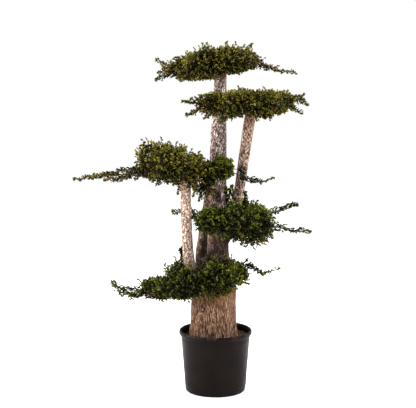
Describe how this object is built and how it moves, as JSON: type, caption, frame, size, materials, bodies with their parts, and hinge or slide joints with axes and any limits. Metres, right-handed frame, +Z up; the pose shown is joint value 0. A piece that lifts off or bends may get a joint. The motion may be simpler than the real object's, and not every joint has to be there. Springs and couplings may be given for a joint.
{
  "type": "potted juniper bonsai",
  "caption": "Tall juniper trained as flat pads of foliage on a thick bare trunk and slim upright boughs, standing in a round tapered nursery pot.",
  "frame": {"origin": "centre of the pot's flat underside, on the ground", "axes": "+Z up along the trunk; +X towards the right-hand boughs seen from the front; -Y is the front of the tree"},
  "size_m": [0.8883, 0.4749, 1.3469],
  "materials": {
    "pot_plastic": "satin charcoal moulded plastic",
    "potting_mix": "rough shredded bark and fibre",
    "trunk_bark": "fibrous ridged bark, matt",
    "bough_bark": "pale flecked bark, matt",
    "foliage": "matt scaly evergreen sprays"
  },
  "bodies": {
    "root": {"pot": "pot_plastic", "soil": "potting_mix", "trunk": "trunk_bark", "bough_left": "bough_bark", "bough_middle": "bough_bark", "bough_right": "bough_bark", "top_left": "foliage", "top_front_left": "foliage", "top_front_right": "foliage", "top_right": "foliage", "top_back_right": "foliage", "top_back_left": "foliage", "upper_left": "foliage", "upper_front_left": "foliage", "upper_front_right": "foliage", "upper_right": "foliage", "upper_back": "foliage", "left_outer": "foliage", "left_front": "foliage", "left_inner": "foliage", "left_back": "foliage", "middle_left": "foliage", "middle_right": "foliage", "right_inner": "foliage", "right_front": "foliage", "right_outer": "foliage", "right_back": "foliage", "lower_outer": "foliage", "lower_front_left": "foliage", "lower_front": "foliage", "lower_right": "foliage", "lower_back": "foliage", "lower_back_left": "foliage"}
  },
  "joints": []
}
